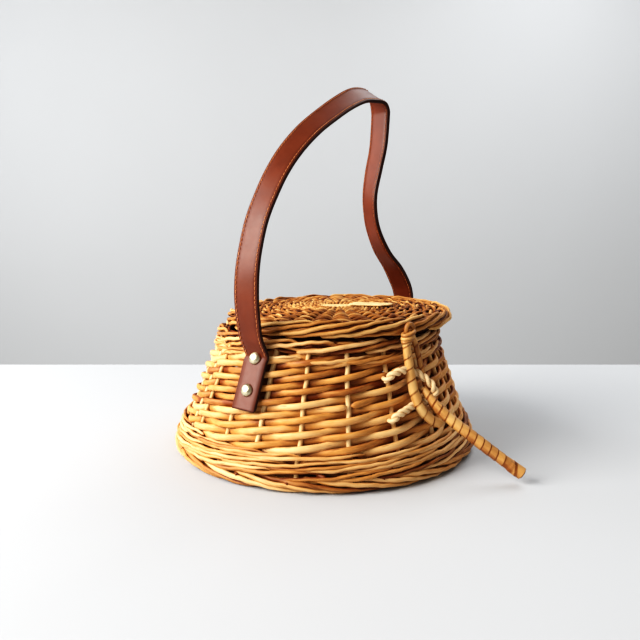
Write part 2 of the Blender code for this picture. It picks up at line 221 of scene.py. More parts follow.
class Mesher:
    """Gathers swept rods into one mesh, with each rod's tone, which carries painted shade, and its grain
    direction as attributes.
    """

    def __init__(self, painted_crevice_shade=0.34):
        # painted shade: a rod darkens where it turns towards its neighbours, in the crevices between rods
        self.painted_crevice_shade = painted_crevice_shade                # how much a rod darkens where it turns towards its neighbours
        self.co, self.quads, self.caps, self.tone, self.grain, self.count = [], [], [], [], [], 0

    def rings(self, rings, tone, grain, closed=False):
        n, m = rings.shape[:2]
        index = self.count + np.arange(n * m).reshape(n, m)
        a = index if closed else index[:-1]
        b = np.roll(index, -1, 0) if closed else index[1:]
        self.quads.append(np.stack([a, np.roll(a, -1, 1), np.roll(b, -1, 1), b], -1).reshape(-1, 4))
        if not closed:
            self.caps += [index[0][::-1], index[-1]]
        self.co.append(rings.reshape(-1, 3))
        self.tone.append(np.broadcast_to(tone, (n, m)).reshape(-1))
        self.grain.append(grain.reshape(-1, 3))
        self.count += n * m

    def rod(self, path, radius, normal, sides=8, flat=1.0, tone=None, closed=False, round_ends=0.0):
        """Sweeps a rod along a path. flat below 1 thins it along its normal, and round_ends is the length of
        its rounded tips. radius and tone may be one number, one per ring, or one per ring and side."""
        path = np.asarray(path, float)
        n = len(path)
        run = lengths(path)
        rr = np.asarray(radius, float)
        rr = rr if rr.ndim == 2 else np.broadcast_to(rr, (n,))[:, None]
        if round_ends:
            near = np.minimum(run, run[-1] - run)
            rr = rr * np.sqrt(np.clip(1 - (1 - np.clip(near / round_ends, 0, 1)) ** 2, 0.09, 1))[:, None]
        t = unit(np.roll(path, -1, 0) - np.roll(path, 1, 0)) if closed else unit(np.gradient(path, axis=0))
        nn = across(normal, t)
        bb = np.cross(t, nn)
        angle = TAU * np.arange(sides) / sides
        c, s = np.cos(angle), np.sin(angle)
        rings = path[:, None] + (rr * c * flat)[..., None] * nn[:, None] + (rr * s)[..., None] * bb[:, None]
        value = RNG.random() if tone is None else tone
        shaded = value if np.ndim(value) == 2 else np.reshape(value, (-1, 1))
        # painted shade in the crevices: the sides that face neighbouring rods are darkened
        shaded = np.broadcast_to(shaded, (n, sides)) - self.painted_crevice_shade * np.clip(0.75 - c, 0, 1.2) ** 1.3
        grain = np.stack([np.broadcast_to(g, (n, sides)) for g in (run[:, None], c * 2.0, s * 2.0)], -1) * MM
        place_in_noise = 0.13 * (value if np.ndim(value) == 0 else 0.5)
        self.rings(rings, shaded, grain + place_in_noise * UP, closed)

    def build(self, name, material):
        quads = np.vstack(self.quads)
        loops = np.concatenate([quads.reshape(-1)] + self.caps)
        totals = np.concatenate([np.full(len(quads), 4), [len(cap) for cap in self.caps]])
        starts = np.r_[0, np.cumsum(totals)[:-1]]
        mesh = bpy.data.meshes.new(name)
        mesh.vertices.add(self.count)
        mesh.vertices.foreach_set("co", (np.vstack(self.co) * MM).astype(np.float32).ravel())
        mesh.loops.add(len(loops))
        mesh.loops.foreach_set("vertex_index", loops.astype(np.int32))
        mesh.polygons.add(len(totals))
        mesh.polygons.foreach_set("loop_start", starts.astype(np.int32))
        mesh.polygons.foreach_set("loop_total", totals.astype(np.int32))
        mesh.update(calc_edges=True)
        mesh.polygons.foreach_set("use_smooth", np.arange(len(totals)) < len(quads))
        tone = mesh.attributes.new("tone", "FLOAT", "POINT")
        tone.data.foreach_set("value", np.concatenate(self.tone).astype(np.float32))
        grain = mesh.attributes.new("grain", "FLOAT_VECTOR", "POINT")
        grain.data.foreach_set("vector", np.vstack(self.grain).astype(np.float32).ravel())
        mesh.materials.append(material)
        mesh.update()
        obj = bpy.data.objects.new(name, mesh)
        bpy.context.scene.collection.objects.link(obj)
        return obj


# ---- materials ------------------------------------------------------------------------------------


class Nodes:
    """A material and short ways to add nodes to it."""

    def __init__(self, name):
        self.mat = bpy.data.materials.new(name)
        self.mat.use_nodes = True
        self.tree = self.mat.node_tree
        self.bsdf = self.tree.nodes["Principled BSDF"]

    def put(self, socket, value):
        if isinstance(value, bpy.types.NodeSocket):
            self.tree.links.new(value, socket)
        else:
            socket.default_value = value

    def add(self, kind, inputs, **props):
        node = self.tree.nodes.new(kind)
        for key, value in props.items():
            setattr(node, key, value)
        for key, value in inputs.items():
            self.put(node.inputs[key], value)
        return node

    def surface(self, **values):
        for key, value in values.items():
            self.put(self.bsdf.inputs[key.replace("_", " ")], value)

    def math(self, op, a, b):
        return self.add("ShaderNodeMath", {0: a, 1: b}, operation=op).outputs[0]

    def attribute(self, name, output):
        return self.add("ShaderNodeAttribute", {}, attribute_name=name).outputs[output]

    def where(self):
        return self.add("ShaderNodeTexCoord", {}).outputs["Object"]

    def stretched(self, vector, scale):
        return self.add("ShaderNodeVectorMath", {0: vector, 1: scale}, operation="MULTIPLY").outputs[0]

    def noise(self, vector, scale, detail, roughness=0.5):
        values = {"Vector": vector, "Scale": scale, "Detail": detail, "Roughness": roughness}
        return self.add("ShaderNodeTexNoise", values).outputs[0]

    def varied(self, base, noise, amount):
        """base plus the noise, centred on zero and scaled by amount."""
        return self.math("ADD", base, self.math("MULTIPLY", self.math("SUBTRACT", noise, 0.5), amount))

    def ramp(self, value, stops):
        node = self.add("ShaderNodeValToRGB", {"Fac": value})
        elements = node.color_ramp.elements
        while len(elements) < len(stops):
            elements.new(0.5)
        for element, (position, colour) in zip(elements, stops):
            element.position = position
            element.color = (*colour, 1)
        return node.outputs["Color"]

    def mix(self, amount, a, b):
        node = self.add("ShaderNodeMix", {0: amount, 6: a, 7: (*b, 1)}, data_type="RGBA")
        return node.outputs[2]

    def bump(self, height, strength, distance):
        values = {"Strength": strength, "Distance": distance, "Height": height}
        self.surface(Normal=self.add("ShaderNodeBump", values).outputs[0])


def willow(name, dark, mid, light, rough=0.5, streak=0.5, blotch=0.5, shine=0.3):
    """Peeled willow: each rod its own tone with painted shade carried in it, fine fibres along it, warm
    blotches and a few knots.
    """
    m = Nodes(name)
    tone, grain = m.attribute("tone", "Fac"), m.attribute("grain", "Vector")
    fibre = m.noise(m.stretched(grain, (120.0, 900.0, 900.0)), 1.0, 5.0, 0.65)
    patch = m.noise(m.stretched(grain, (38.0, 160.0, 160.0)), 1.0, 3.0, 0.55)
    shade = m.varied(m.varied(tone, fibre, streak), patch, blotch)
    cells = {"Vector": m.stretched(grain, (42.0, 330.0, 330.0)), "Scale": 1.0}
    knots = m.add("ShaderNodeTexVoronoi", cells).outputs["Distance"]
    spot = m.ramp(knots, [(0.0, (1, 1, 1)), (0.10, (0.75, 0.75, 0.75)), (0.17, (0, 0, 0))])
    colour = m.ramp(shade, [(0.0, dark), (0.45, mid), (1.0, light)])
    colour = m.mix(m.math("MULTIPLY", spot, 0.55), colour, [0.35 * c for c in dark])
    roughness = m.math("ADD", rough - 0.12, m.math("MULTIPLY", fibre, 0.25))
    m.surface(Base_Color=colour, Roughness=roughness, Specular_IOR_Level=shine)
    m.bump(fibre, 0.25, 0.0004)
    return m.mat


def leather(name, base, dark, edge):
    """Smooth cowhide with pores and creases. The tone attribute darkens the cut edges."""
    m = Nodes(name)
    where = m.where()
    cells = {"Vector": where, "Scale": 1400.0}
    pores = m.add("ShaderNodeTexVoronoi", cells, feature="SMOOTH_F1").outputs["Distance"]
    cloud = m.noise(where, 45.0, 6.0, 0.6)
    crease = m.noise(where, 260.0, 4.0, 0.7)
    colour = m.mix(m.attribute("tone", "Fac"), m.ramp(cloud, [(0.25, dark), (0.75, base)]), edge)
    roughness = m.math("ADD", 0.28, m.math("MULTIPLY", crease, 0.22))
    m.surface(Base_Color=colour, Roughness=roughness, Specular_IOR_Level=0.26)
    m.bump(m.math("ADD", m.math("MULTIPLY", pores, 0.4), m.math("MULTIPLY", crease, 0.8)), 0.24, 0.0003)
    return m.mat


def metal(name, colour):
    m = Nodes(name)
    wear = m.noise(m.where(), 500.0, 5.0)
    worn = m.ramp(wear, [(0.3, [c * 0.8 for c in colour]), (0.7, colour)])
    m.surface(Base_Color=worn, Metallic=1.0, Roughness=m.math("ADD", 0.22, m.math("MULTIPLY", wear, 0.2)))
    m.bump(wear, 0.02, 0.0001)
    return m.mat


def paint(name, colour, rough):
    m = Nodes(name)
    cloud = m.noise(m.where(), 3.0, 2.0)
    m.surface(Base_Color=m.ramp(cloud, [(0.3, [c * 0.985 for c in colour]), (0.7, colour)]), Roughness=rough)
    return m.mat


WILLOW = willow("willow_body", (0.20, 0.043, 0.003), (0.62, 0.28, 0.072), (0.84, 0.54, 0.25),
                streak=0.6, blotch=0.7)
STAKE = willow("willow_stakes", (0.30, 0.10, 0.015), (0.64, 0.35, 0.12), (0.82, 0.57, 0.29))
EDGE = willow("willow_edges", (0.16, 0.036, 0.003), (0.56, 0.25, 0.065), (0.82, 0.53, 0.25),
              streak=0.6, blotch=0.8)
LID = willow("willow_lid", (0.07, 0.014, 0.002), (0.36, 0.135, 0.030), (0.74, 0.43, 0.16),
             blotch=0.9, shine=0.1)
LID_EDGE = willow("willow_lid_edge", (0.10, 0.022, 0.003), (0.41, 0.17, 0.040), (0.72, 0.44, 0.175),
                  blotch=0.8, shine=0.15)
SPLIT = willow("willow_split", (0.50, 0.28, 0.10), (0.72, 0.46, 0.19), (0.88, 0.66, 0.36))
CANE = willow("cane_wrap", (0.22, 0.065, 0.010), (0.60, 0.31, 0.10), (0.76, 0.49, 0.21), rough=0.42)
NOOSE = willow("noose_willow", (0.38, 0.19, 0.07), (0.64, 0.40, 0.19), (0.80, 0.58, 0.33), blotch=0.4)
LEATHER = leather("leather_tan", (0.148, 0.031, 0.0095), (0.096, 0.018, 0.005), edge=(0.035, 0.012, 0.008))
THREAD = willow("thread", (0.30, 0.085, 0.026), (0.46, 0.16, 0.055), (0.60, 0.25, 0.10), rough=0.7)
RIVET = metal("rivet_metal", (0.64, 0.57, 0.39))

# ---- ways to weave --------------------------------------------------------------------------------


def border(mesher, point, ring_r, ring_z, half_r, half_z, rod_r, span, rise, count=STAKES, start=0.0,
           side_span=150.0, taper=0.25, sides=8, drift=0.3, tail=30.0, tone=(0.15, 0.95)):
    """A thick edge of count separate rods: each comes out below, slants along the outside and turns in over
    the top. span is a rod's length in pitches, half_r and half_z are half the edge's width and height, and
    rise -1 slants the rods the other way."""
    pitch = 360.0 / count
    for i in range(count):
        theta0 = start + i * pitch + RNG.uniform(-0.12, 0.12) * pitch
        if theta0 < start:                  # the first rod is left out where it would crowd the last
            continue
        reach = span * pitch * RNG.uniform(0.94, 1.08)
        r = rod_r * RNG.uniform(0.88, 1.1)
        n = int(math.radians(reach) * ring_r / 2.6) + 8
        u = np.linspace(0, 1, n)
        theta = theta0 + reach * u
        low, high = -side_span / 2 + RNG.uniform(-8, 8), side_span / 2
        psi = np.interp(u, [0, 0.10, 0.86, 1.0], [low - tail, low, high, high + 75])
        psi = np.radians(np.convolve(np.pad(psi, 3, "edge"), np.ones(7) / 7, "valid")) * rise
        shrink = 1 - 0.35 * ease((u - 0.9) / 0.1)
        rr = ring_r + (half_r - r) * np.cos(psi) * shrink + wander(n, drift)
        zz = ring_z + (half_z - r) * np.sin(psi) * shrink + wander(n, drift)
        out = np.cos(psi)[:, None] * radial(theta) + np.sin(psi)[:, None] * UP
        mesher.rod(point(theta, rr, zz), r * (1 + taper * (0.5 - u)), out, sides=sides,
                   flat=RNG.uniform(0.86, 1.0), tone=RNG.uniform(*tone), round_ends=r * 0.8)


def pairing(mesher, point, r0, r1, z, sticks, start, pitch, rod_r, twist, height, sides=6, way=0):
    """Rounds of two rods twisted over and under the sticks. way is the slant, and 0 slants each round against
    the last."""
    rounds = int((r1 - r0) / pitch) + 1
    for k in range(rounds):
        r = r0 + k * pitch
        lean = way or (1 if k % 2 else -1)
        steps = sticks * (8 if r > 45 else 6)
        s = np.linspace(0, sticks, steps, endpoint=False)
        for strand in (0, 1):
            phase = np.pi * (s + strand + (k // 2) % 2)
            lump = np.cos(phase)
            zz = z + height * np.sign(lump) * np.abs(lump) ** 0.85 + wander(steps, 0.12)
            rr = r + lean * twist * np.sin(phase) + wander(steps, 0.2, 2)
            theta = start + (s + wander(steps, 0.10, 3)) * 360.0 / sticks
            strand_tone = RNG.uniform(0.0, 1.0)
            piece_tone = RNG.uniform(0.0, 1.0, size=sticks * 2)[(s * 0.25).astype(int)]
            # painted shade: a strand darkens where it dips under a stick
            tone = 0.5 * strand_tone + 0.5 * piece_tone - 0.5 * np.clip(-lump, 0, 1)
            radius = rod_r * RNG.uniform(0.9, 1.08)
            mesher.rod(point(theta, rr, zz), radius, UP, sides=sides, tone=tone, closed=True)


def spokes(mesher, point, sticks, start, r0, r1, z, radius):
    for j in range(sticks):
        theta = start + j * 360.0 / sticks + RNG.uniform(-1.0, 1.0)
        r = np.linspace(r0, r1, 24)
        zz = z + wander(24, 0.2)
        path = point(theta + wander(24, 0.5), r, zz)
        mesher.rod(path, radius * RNG.uniform(0.85, 1.1), UP, flat=0.8)


def bundle(mesher, point_xy, length, width, sticks, z, thick, turn, tone, shift=0.0):
    """Flattened sticks lying side by side, shifted along themselves from the middle."""
    a = math.radians(turn)
    along, side = np.array([math.cos(a), math.sin(a)]), np.array([-math.sin(a), math.cos(a)])
    each = width / sticks
    for i in range(sticks):
        off = (i - (sticks - 1) / 2) * each
        ends = [shift - length / 2 + RNG.uniform(-3, 3), shift + length / 2 + RNG.uniform(-4, 4)]
        s = np.linspace(ends[0], ends[1], 16)
        xy = along[None] * s[:, None] + side[None] * (off + wander(16, 0.15))[:, None]
        path = point_xy(xy[:, 0], xy[:, 1], z + wander(16, 0.12))
        mesher.rod(path, each * 0.49, UP, flat=thick / each, tone=RNG.uniform(*tone), round_ends=1.0)


def twisted(mesher, path, ply_r, pitch, normal, sides=8, tone=(0.3, 0.9), closed=False):
    """Two plies wound round each other along path, one turn for every pitch."""
    run = lengths(path)
    t = unit(np.gradient(path, axis=0))
    n = across(normal, t)
    b = np.cross(t, n)
    turns = max(round(run[-1] / pitch), 1) if closed else run[-1] / pitch
    for k in (0, 1):
        psi = TAU * (run / run[-1] * turns + k / 2)
        strand = path + ply_r * 0.92 * (np.cos(psi)[:, None] * n + np.sin(psi)[:, None] * b)
        mesher.rod(strand, ply_r * (1 + wander(len(path), 0.04)), n, sides=sides, tone=RNG.uniform(*tone),
                   round_ends=ply_r * 0.8)


def wrapped(mesher, path, radius, pitch, normal, tone):
    """A stick bound with a flat strip: each turn stands proud at one edge and tucks under the next."""
    sides, step, spread = 20, 0.30, 0.2
    run = lengths(path)
    turns = np.r_[0, np.cumsum(np.diff(run) / np.broadcast_to(pitch, run.shape)[1:])]
    phase = turns[:, None] - np.arange(sides) / sides
    turn = np.floor(phase).astype(int)
    within = phase - turn
    rise = np.where(within < 0.93, within / 0.93, (1 - within) / 0.07)
    rr = np.broadcast_to(radius, run.shape)[:, None] + step * (rise - 0.5) * (1 + 0.25 * np.sin(3.7 * turn))
    own = RNG.uniform(-spread, spread, size=turn.max() - turn.min() + 1)
    # painted shade in the crevice between turns: darker where a turn tucks under the next and where it comes
    # out
    tones = tone + own[turn - turn.min()] - 0.55 * (within > 0.90) - 0.35 * (within < 0.06)
    mesher.rod(path, rr, carried(path, normal), sides=sides, tone=tones)


# ---- body -----------------------------------------------------------------------------------------


def body_weave():
    """One rod starts behind each stake and climbs a row for every stake it passes."""
    weave = Mesher()
    for i in range(STAKES):
        steps = WEAVE_REACH * STROKE_STEPS
        s = np.linspace(-0.5, WEAVE_REACH - 0.5, steps)
        z = WEAVE_LOW - 7.0 + ROW * s + wander(steps, 0.5, 5)
        theta = stake_angle(i + s)
        swing = np.cos(np.pi * s)
        z = z + 0.70 * swing                # the outer strokes arch up over the stakes
        r = wall(z) - WALL_MID + (WEAVE_SWING + wander(steps, 0.2, 6)) * swing
        behind = np.clip(-swing, 0, 1)
        radius = WEAVE_R * RNG.uniform(0.90, 1.06) * (1 - 0.07 * s / WEAVE_REACH)
        radius = radius * (1 + wander(steps, 0.06, 7)) * (1 + 0.52 * behind)
        path = body_point(theta, r, z)
        shown = np.nonzero((z > WEAVE_LOW - 2.5) & (z < WEAVE_HIGH + 1.5))[0]
        joins = []
        if i % 3 == 0:                      # every third rod is pieced: a new one goes on where it ends
            joins = [int(j) * STROKE_STEPS + 6 for j in RNG.choice(np.arange(4, WEAVE_REACH - 3, 2), 1)]
        cuts = [shown[0]] + joins + [shown[-1] + 1]
        for a, b in zip(cuts, cuts[1:]):
            if b - a < 14:
                continue
            thick = radius[a:b] * (1 + 0.08 * (0.5 - np.linspace(0, 1, b - a)))
            # painted shade: the tone darkens where the rod passes behind the stakes
            weave.rod(path[a:b], thick, radial(theta[a:b]), sides=12, flat=0.72,
                      tone=RNG.uniform(0.2, 0.9) - 0.3 * behind[a:b], round_ends=1.8)
    return weave.build("body_weave", WILLOW)


def stakes():
    rods = Mesher()
    for i in range(STAKES):
        z = np.linspace(STAKE_LOW, STAKE_HIGH, 40)
        theta = stake_angle(i) + wander(40, 0.3)
        path = body_point(theta, wall(z) - WALL_MID - 0.2 + wander(40, 0.25), z)
        rods.rod(path, STAKE_R * RNG.uniform(0.93, 1.08), radial(theta), sides=10, tone=RNG.uniform(0.4, 1.0))
    return rods.build("stakes", STAKE)


def bottom_wale():
    """Three rounds, each with an outer layer and one slanting the other way behind it, darkened as painted
    shade.
    """
    rods = Mesher()
    for z, r, shift, half_z in ((13.4, 138.6, 0.0, 5.0), (19.6, 136.2, 0.4, 4.6), (25.2, 134.0, 0.75, 3.8)):
        start = STAKE_START + shift * INTERVAL
        border(rods, body_point, ring_r=r - 5.0, ring_z=z, half_r=5.0, half_z=half_z, rod_r=1.6, span=3.2,
               rise=1, start=start, side_span=135, taper=0.4, drift=0.6)
        # painted shade: the layer behind takes darker tones
        border(rods, body_point, ring_r=r - 11.0, ring_z=z, half_r=3.6, half_z=half_z, rod_r=1.9, span=3.4,
               rise=-1, start=start, side_span=140, taper=0.2, sides=6, tone=(0.0, 0.4))
    return rods.build("bottom_wale_rods", EDGE)


def foot_border():
    rods = Mesher()
    border(rods, body_point, ring_r=133.6, ring_z=6.2, half_r=6.4, half_z=6.0, rod_r=1.95, span=3.3, rise=-1,
           count=25, side_span=145, taper=0.35, tail=60, drift=0.6)
    border(rods, body_point, ring_r=127.0, ring_z=6.2, half_r=4.6, half_z=5.8, rod_r=2.1, span=3.0, rise=1,
           taper=0.2, tail=60)
    for i in range(17):                     # cut ends stick out between the rods
        u = np.linspace(0, 1, 6)
        theta = -118 + i * 15.7 + RNG.uniform(-5, 5) + u * RNG.uniform(2.5, 4.5)
        z = RNG.uniform(8.5, 14.5) - 1.2 * u
        rods.rod(body_point(theta, wall(z) - 5.6 + 4.4 * u, z), 1.75, radial(theta), sides=10, tone=-0.15)
    return rods.build("foot_border_rods", EDGE)


def top_border():
    """The top wale in two layers, then the border proper in three. The inner layers take darker tones as
    painted shade.
    """
    rods = Mesher()
    border(rods, body_point, ring_r=wall(RIM_Z) - 5.6, ring_z=95.2, half_r=5.8, half_z=4.0, rod_r=1.5,
           span=2.5, rise=1, start=STAKE_START, side_span=135, drift=0.5, taper=0.5)
    # painted shade: the inner layers below take darker tones
    border(rods, body_point, ring_r=wall(RIM_Z) - 10.4, ring_z=95.4, half_r=2.6, half_z=4.6, rod_r=1.8,
           span=3.2, rise=-1, start=STAKE_START, side_span=140, sides=6, tone=(0.0, 0.4))
    border(rods, rim_point, ring_r=98.2, ring_z=103.2, half_r=5.2, half_z=5.6, rod_r=1.75, span=3.0, rise=1,
           start=STAKE_START + 5, side_span=145, drift=0.5)
    border(rods, rim_point, ring_r=95.4, ring_z=101.6, half_r=4.0, half_z=5.0, rod_r=1.7, span=3.0, rise=-1,
           start=STAKE_START + 9, tone=(0.0, 0.5))
    border(rods, rim_point, ring_r=92.0, ring_z=101.7, half_r=2.2, half_z=5.6, rod_r=2.0, span=3.4, rise=1,
           start=STAKE_START + 3, side_span=170, sides=6, tone=(-0.2, 0.2))
    return rods.build("top_border_rods", EDGE)


def base_weave():
    rods = Mesher()
    pairing(rods, base_point, r0=15.4, r1=121.0, z=BASE_Z, sticks=BASE_STICKS, start=BASE_START, pitch=5.2,
            rod_r=1.75, twist=1.3, height=2.3)
    return rods.build("base_weave_rods", WILLOW)


def base_sticks():
    def flat(x, y, z):
        return np.stack([x, y, z], -1)

    rods = Mesher()
    spokes(rods, base_point, BASE_STICKS, BASE_START, r0=24.0, r1=123.0, z=BASE_Z, radius=2.0)
    for z, turn in ((2.3, 30), (6.0, 120)):
        bundle(rods, flat, length=60, width=22, sticks=5, z=z, thick=3.6, turn=turn, tone=(0.4, 0.9))
    return rods.build("base_sticks", STAKE)


# ---- lid ------------------------------------------------------------------------------------------


def lid_weave():
    rods = Mesher(painted_crevice_shade=0.6)
    pairing(rods, lid_face_point, r0=18.5, r1=47.0, z=LID_Z, sticks=LID_STICKS, start=LID_START, pitch=3.9,
            rod_r=1.4, twist=1.2, height=2.6, sides=8, way=-1)
    pairing(rods, lid_face_point, r0=50.5, r1=90.0, z=LID_Z, sticks=LID_STICKS, start=LID_START, pitch=4.6,
            rod_r=1.6, twist=1.5, height=2.6, sides=8)
    return rods.build("lid_weave_rods", LID)


def lid_sticks():
    rods = Mesher()
    spokes(rods, lid_face_point, LID_STICKS, LID_START, r0=17.0, r1=93.0, z=LID_Z - 0.1, radius=1.5)
    return rods.build("lid_sticks", LID)


def lid_cross():
    """Two crossed bundles in the middle and a pale split one on top, off the middle."""
    def on_lid(x, y, z):
        return tipped(LID_X + x, LID_Y + y, z)

    rods = Mesher()
    bundle(rods, on_lid, length=50, width=20, sticks=4, z=121.8, thick=2.8, turn=-6 - CAMERA_TURN,
           tone=(0.3, 0.8), shift=4)
    bundle(rods, on_lid, length=34, width=18, sticks=3, z=124.6, thick=2.2, turn=-24 - CAMERA_TURN,
           tone=(0.6, 0.9), shift=31)
    bundle(rods, on_lid, length=58, width=24, sticks=4, z=119.0, thick=2.8, turn=80 - CAMERA_TURN,
           tone=(0.2, 0.8))
    return rods.build("lid_cross_sticks", SPLIT)


def lid_border():
    """The border, two layers inside it with darker tones as painted shade, and a ring of rods under the lid
    that closes the gap below, dark as painted shadow.
    """
    rods = Mesher()
    border(rods, lid_edge_point, ring_r=96.6, ring_z=114.7, half_r=6.9, half_z=7.6, rod_r=1.68, span=3.9,
           rise=1, taper=0.5, tail=35, drift=0.7, tone=(0.35, 1.0))
    border(rods, lid_edge_point, ring_r=92.4, ring_z=115.2, half_r=4.6, half_z=5.4, rod_r=1.8, span=3.4,
           rise=-1, count=26, side_span=165, taper=0.3, tone=(0.0, 0.5))
    border(rods, lid_edge_point, ring_r=97.0, ring_z=114.9, half_r=4.2, half_z=5.2, rod_r=1.9, span=3.4,
           rise=1, count=24, side_span=160, taper=0.3, tone=(0.0, 0.5), sides=6)
    # painted shadow: the ring under the lid takes dark tones
    border(rods, lid_edge_point, ring_r=86.2, ring_z=108.0, half_r=2.4, half_z=5.4, rod_r=2.1, span=3.8,
           rise=-1, side_span=170, sides=6, tone=(-0.3, 0.1))
    return rods.build("lid_border_rods", LID_EDGE)


def hinge_loops():
    """A twisted willow loop goes round the hinge rod and the top border on each side."""
    loops = Mesher()
    outline = [(3.4, 0), (2.0, 3.2), (-1.2, 3.6), (-3.4, 1.0), (-4.8, -5.2), (-10.0, -6.0), (-13.2, -10.8),
               (-9.0, -16.6), (-2.0, -15.6), (3.2, -8.8)]
    for dx in (-20.0, 20.0):
        path = spline([(LID_X + dx, HINGE_Y + y, HINGE_Z + z) for y, z in outline], 1.0, closed=True)
        twisted(loops, path, 1.15, 9.0, np.array([1.0, 0, 0]), closed=True)
    return loops.build("hinge_loops", STAKE)


def hinge_rod():
    """The rod that the lid turns on, bound to the lid border in three places."""
    rods = Mesher()
    x = np.linspace(LID_X - 30, LID_X + 30, 30)
    path = np.stack([x, np.full(30, HINGE_Y), np.full(30, HINGE_Z)], -1)
    rods.rod(path, 2.1, UP, sides=12, tone=0.4, round_ends=1.2)
    for dx in (-27.0, 0.0, 27.0):
        a = np.linspace(0, TAU * 3.4, 90)
        y = HINGE_Y - 3.4 + 6.4 * np.cos(a) - (0.9 if dx else 0)
        z = HINGE_Z + 0.8 + 6.3 * np.sin(a)
        x = LID_X + dx + np.linspace(-3.6, 3.6, 90)
        rods.rod(np.stack([x, y, z], -1), 1.15, np.array([1.0, 0, 0]), flat=1.3, tone=0.7)
    return rods.build("hinge_rod_bound", STAKE)


# ---- clasp ----------------------------------------------------------------------------------------

HASP_LEFT = [(2.6, -115.2, 115.0), (-1.2, -115.4, 112.0), (-1.4, -115.6, 104.0), (0.2, -116.0, 95.0),
             (1.0, -118.2, 82.0), (2.2, -121.6, 69.0), (5.8, -125.2, 57.0), (12.4, -128.4, 48.4),
             (19.6, -131.2, 43.6)]
HASP_RIGHT = [(22.8, -130.6, 44.8), (22.8, -128.2, 50.2), (18.8, -125.6, 57.8), (16.6, -123.8, 65.2),
              (14.6, -121.2, 74.6), (12.8, -118.0, 87.0), (10.8, -116.0, 98.0), (7.2, -115.2, 109.0)]
PEG = [(10.4, -122.4, 71.8), (12.5, -128.5, 65.1), (16.4, -135.5, 56.9), (21.7, -142.0, 49.4),
       (31.8, -153.0, 38.2), (42.9, -164.6, 26.4), (54.3, -177.0, 14.6), (60.2, -183.8, 8.6)]
NOOSE_LOOP = [(-18.4, -108.0, 79.4), (-18.2, -113.2, 82.6), (-13.6, -115.9, 86.2), (-6.0, -116.4, 87.2),
              (1.4, -115.0, 86.2), (8.0, -117.6, 84.0), (12.6, -122.4, 79.8), (15.8, -126.6, 75.0),
              (17.4, -128.8, 69.6), (15.6, -127.8, 64.6), (12.2, -124.4, 61.6), (8.0, -121.6, 60.4),
              (3.0, -121.0, 59.4), (-4.0, -122.6, 57.6), (-13.0, -123.8, 55.6), (-20.2, -123.6, 52.4),
              (-21.4, -119.2, 48.6)]


def hasp():
    """The long loop, thickest at its bend, with a slimmer right arm whose darker tone is painted shade."""
    loop = Mesher(painted_crevice_shade=0.12)
    path = spline(HASP_LEFT + HASP_RIGHT, 0.5, closed=True)
    run = lengths(path)
    turn = TAU * run / run[-1]
    # painted shade: the right arm is darkened as well as slimmed
    slim_shaded_arm = ease((turn - 0.52 * TAU) / (0.1 * TAU))
    girth = 3.5 - 0.5 * np.cos(turn) + 0.5 * np.sin(turn) - 0.45 * slim_shaded_arm
    wrapped(loop, path, girth, 9.6, (0, -1, 0), tone=0.62 - 0.35 * slim_shaded_arm[:, None])
    return loop.build("hasp_wrapped", CANE)


def hasp_ring():
    """The ring through the lid border, and three turns of the knot below it."""
    ring = Mesher(painted_crevice_shade=0.3)
    a = np.linspace(0, TAU, 60, endpoint=False)
    x, y, z = 2.8 + 3.7 * np.cos(a) - 0.6 * np.sin(a), -113.8 - 0.6 * np.sin(a), 119.0 + 4.6 * np.sin(a)
    path = np.stack([x, y, z], -1)
    ring.rod(path, 2.0, carried(path, (0, -1, 0)), sides=12, tone=0.25, closed=True)
    for lift, size, tone in ((0.0, 1.0, 0.3), (-2.9, 0.94, 0.6), (-5.4, 0.78, 0.35)):
        knot = np.stack([0.6 + 0.2 * lift + 5.0 * size * np.cos(a), -115.0 - 3.6 * size * np.sin(a),
                         116.4 + lift + 1.4 * np.cos(a)], -1)
        ring.rod(knot, 1.7, carried(knot, UP), sides=12, tone=tone, closed=True)
    return ring.build("hasp_ring_knot", CANE)


def peg():
    """It thickens away from the basket. The last turn of its cane is wide and pale."""
    stick = Mesher(painted_crevice_shade=0.25)
    path = spline(PEG, 0.35)
    s = np.linspace(0, 1, len(path))
    girth = 2.9 + 1.3 * ease(s / 0.25) + 0.5 * s + 0.35 * np.exp(-((s - 0.6) / 0.14) ** 2)
    girth = girth + 0.45 * ease((s - 0.88) / 0.02)
    pitch = 7.0 + 9.0 * ease((s - 0.86) / 0.04)
    tone = 0.56 - 0.28 * ease((s - 0.40) / 0.30) + 0.36 * ease((s - 0.91) / 0.03)
    wrapped(stick, path, girth, pitch, UP, tone=tone[:, None])
    return stick.build("peg_wrapped", CANE)


def peg_core():
    """The bare end of the stick, just proud of its wrapping."""
    core = Mesher(painted_crevice_shade=0.0)
    path = spline(PEG, 0.35)
    tip, way = path[-1], unit(path[-1:] - path[-9:-8])[0]
    ends = np.array([tip - way * 3.0, tip + way * 0.2, tip + way * 0.9])
    core.rod(ends, [4.1, 4.1, 3.7], carried(ends, UP), sides=16, tone=-0.1)
    return core.build("peg_core_end", STAKE)


def noose():
    rod = Mesher(painted_crevice_shade=0.3)
    path = spline(NOOSE_LOOP, 0.7)
    out = radial(np.degrees(np.arctan2(path[:, 0], -path[:, 1])))
    twisted(rod, path, 1.75, 13.0, out, sides=10, tone=(0.45, 0.95))
    return rod.build("noose_twist", NOOSE)


# ---- strap ----------------------------------------------------------------------------------------

